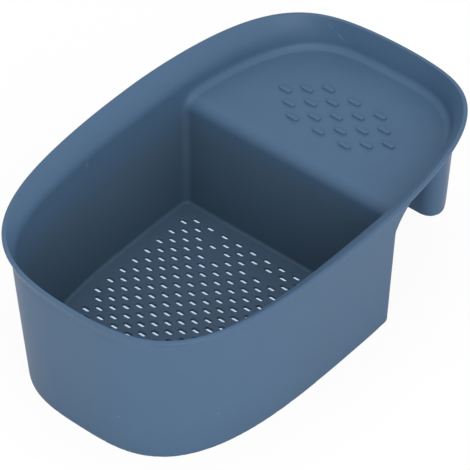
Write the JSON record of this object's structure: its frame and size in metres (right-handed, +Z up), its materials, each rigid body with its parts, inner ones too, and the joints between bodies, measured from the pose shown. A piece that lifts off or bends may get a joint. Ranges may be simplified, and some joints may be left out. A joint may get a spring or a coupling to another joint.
{
  "type": "saddle sink strainer",
  "caption": "Oval strainer basket with a flared rim, a slotted floor, and a shallow ribbed tray and short leg that saddle a sink divider.",
  "frame": {"origin": "on the ground under the middle of the rim, at the bottom centre of the bounding box", "axes": "+X along the length from the basket to the tray, +Y across, +Z up as it stands on its basket floor"},
  "size_m": [0.285, 0.1828, 0.1008],
  "materials": {
    "blue_grey_plastic": "satin, moulded"
  },
  "bodies": {
    "root": {"strainer_floor": "blue_grey_plastic", "basket_wall": "blue_grey_plastic", "saddle_wall": "blue_grey_plastic", "rolled_edge": "blue_grey_plastic", "drain_tray": "blue_grey_plastic", "rim_flange": "blue_grey_plastic", "rim_lip": "blue_grey_plastic", "leg_skirt": "blue_grey_plastic", "leg_face": "blue_grey_plastic"}
  },
  "joints": []
}
